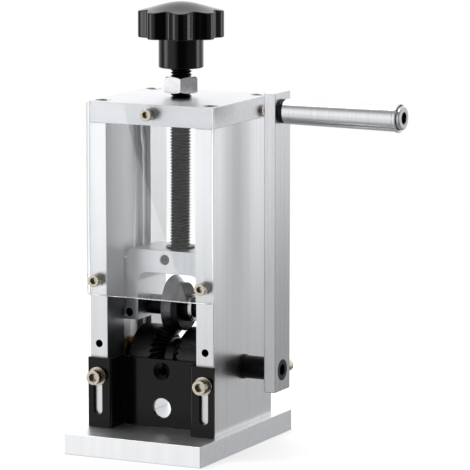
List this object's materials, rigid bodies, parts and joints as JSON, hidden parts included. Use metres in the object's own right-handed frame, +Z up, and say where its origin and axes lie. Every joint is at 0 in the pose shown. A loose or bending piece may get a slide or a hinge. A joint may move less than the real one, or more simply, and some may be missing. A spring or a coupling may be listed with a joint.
{
  "type": "wire stripping machine",
  "caption": "Hand-cranked bench wire stripper: toothed feed drum, round knife on a screw-lifted carriage, clear guard, sliding wire guide and thick plate frame.",
  "frame": {"origin": "middle of the underside of the base plate", "axes": "+X to the right, where the crank is; +Y to the back; +Z up"},
  "size_m": [0.1803, 0.12, 0.2523],
  "materials": {
    "plate_aluminium": "fine brushed, clear anodised",
    "clear_acrylic": "polished clear sheet",
    "nickel_steel": "nickel plated socket screws",
    "black_steel": "black oxide",
    "knife_steel": "ground tool steel",
    "bright_steel": "turned bright",
    "bronze": "turned bronze",
    "knob_plastic": "glossy moulded phenolic",
    "guide_black": "satin black",
    "black_nylon": "turned nylon"
  },
  "bodies": {
    "frame": {"base_plate": "plate_aluminium", "left_side_plate": "plate_aluminium", "right_side_plate": "plate_aluminium", "top_plate": "plate_aluminium", "top_screws": "nickel_steel", "base_screws": "nickel_steel", "guard": "clear_acrylic", "guard_screws": "nickel_steel", "side_screw": "nickel_steel", "left_bush": "bronze", "right_bush": "bronze", "guide_screws": "nickel_steel", "guide_washers": "nickel_steel"},
    "guide": {"wire_guide": "guide_black"},
    "lift": {"carriage": "plate_aluminium", "blade_axle": "bright_steel", "left_spacer": "black_steel", "right_spacer": "black_steel", "axle_screws": "black_steel", "retaining_screw": "black_steel"},
    "hand_screw": {"threaded_rod": "black_steel", "rod_washer": "black_steel", "knob": "knob_plastic"},
    "nut": {"lock_nut": "bright_steel"},
    "knife": {"blade": "knife_steel", "blade_hub": "black_steel", "blade_bearing": "bright_steel"},
    "crank": {"drive_shaft": "black_steel", "shaft_washer": "black_nylon", "shaft_ring": "bright_steel", "left_drum_cheek": "black_steel", "drum_core": "black_steel", "right_drum_cheek": "black_steel", "drum_key": "bright_steel", "crank_arm": "plate_aluminium", "arm_screw": "nickel_steel", "arm_screw_washer": "nickel_steel", "handle_bolt": "bright_steel", "handle_bush": "black_nylon"},
    "grip": {"handle_grip": "plate_aluminium"}
  },
  "joints": [
    {"name": "carriage_lift", "type": "slide", "parent": "frame", "child": "lift", "axis": [0, 0, 1], "range_m": [-0.0004, 0.07]},
    {"name": "screw_turn", "type": "hinge", "parent": "lift", "child": "hand_screw", "pos_m": [0, 0.002, 0.15], "axis": [0, 0, 1], "range_deg": [-90, 14430]},
    {"name": "knife_spin", "type": "hinge", "parent": "lift", "child": "knife", "pos_m": [0, 0.002, 0.0784], "axis": [1, 0, 0], "continuous": true},
    {"name": "crank_turn", "type": "hinge", "parent": "frame", "child": "crank", "pos_m": [0, 0.002, 0.0467], "axis": [1, 0, 0], "continuous": true},
    {"name": "grip_spin", "type": "hinge", "parent": "crank", "child": "grip", "pos_m": [0.1, 0.002, 0.1935], "axis": [1, 0, 0], "continuous": true},
    {"name": "guide_slide", "type": "slide", "parent": "frame", "child": "guide", "axis": [0, 0, 1], "range_m": [0, 0.0194]},
    {"name": "nut_slide", "type": "slide", "parent": "frame", "child": "nut", "axis": [0, 0, 1], "range_m": [-0.0028, 0.0038]}
  ],
  "couplings": [
    {"joint": "screw_turn", "follows": "carriage_lift", "rad_per_m": 3590.4}
  ]
}
